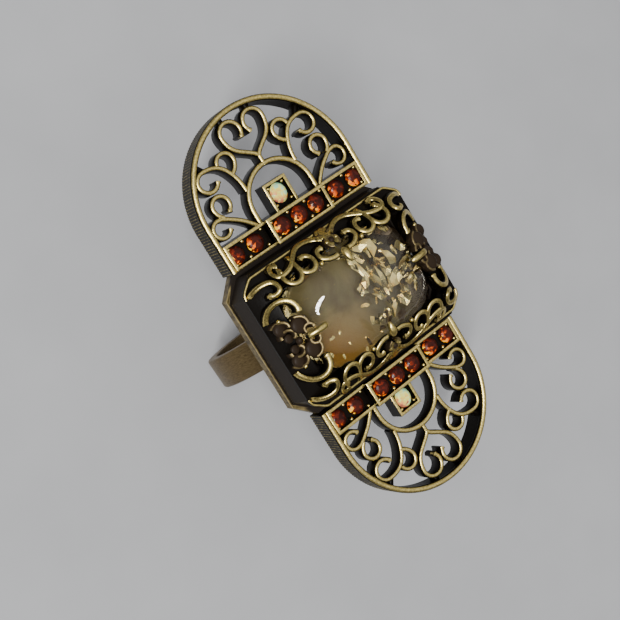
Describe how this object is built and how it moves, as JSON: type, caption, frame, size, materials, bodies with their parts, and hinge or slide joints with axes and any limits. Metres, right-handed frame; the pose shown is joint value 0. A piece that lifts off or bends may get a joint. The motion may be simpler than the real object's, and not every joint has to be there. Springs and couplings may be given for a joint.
{
  "type": "cocktail ring",
  "caption": "Long antique-brass cocktail ring: two filigree end panels with jewelled bars, and a scroll crown that holds a domed cushion stone over a round shank.",
  "frame": {"origin": "centre of the finger hole, on the middle of the band's width", "axes": "+Z square out of the face, +Y along the face's length towards the upper panel, +X across the finger"},
  "size_m": [0.0206, 0.0408, 0.0284],
  "materials": {
    "antique_brass": "oxidised black in the recesses, rubbed bright on the edges",
    "shank_brass": "brushed, aged brown",
    "smoky_glass": "polished dome",
    "gold_foil": "bright crumpled foil",
    "orange_glass": "faceted, foil-backed",
    "pale_glass": "faceted, with an iridescent coat"
  },
  "bodies": {
    "root": {"shank": "shank_brass", "base_tray": "antique_brass", "gallery_crown": "antique_brass", "upper_panel": "antique_brass", "lower_panel": "antique_brass", "upper_stone_bar": "antique_brass", "lower_stone_bar": "antique_brass", "upper_accent_setting": "antique_brass", "lower_accent_setting": "antique_brass", "centre_stone": "smoky_glass", "stone_foil": "gold_foil", "upper_chaton_1": "orange_glass", "upper_chaton_2": "orange_glass", "upper_chaton_3": "orange_glass", "upper_chaton_4": "orange_glass", "upper_chaton_5": "orange_glass", "upper_chaton_6": "orange_glass", "upper_chaton_7": "orange_glass", "lower_chaton_1": "orange_glass", "lower_chaton_2": "orange_glass", "lower_chaton_3": "orange_glass", "lower_chaton_4": "orange_glass", "lower_chaton_5": "orange_glass", "lower_chaton_6": "orange_glass", "lower_chaton_7": "orange_glass", "upper_accent_chaton": "pale_glass", "lower_accent_chaton": "pale_glass"}
  },
  "joints": []
}
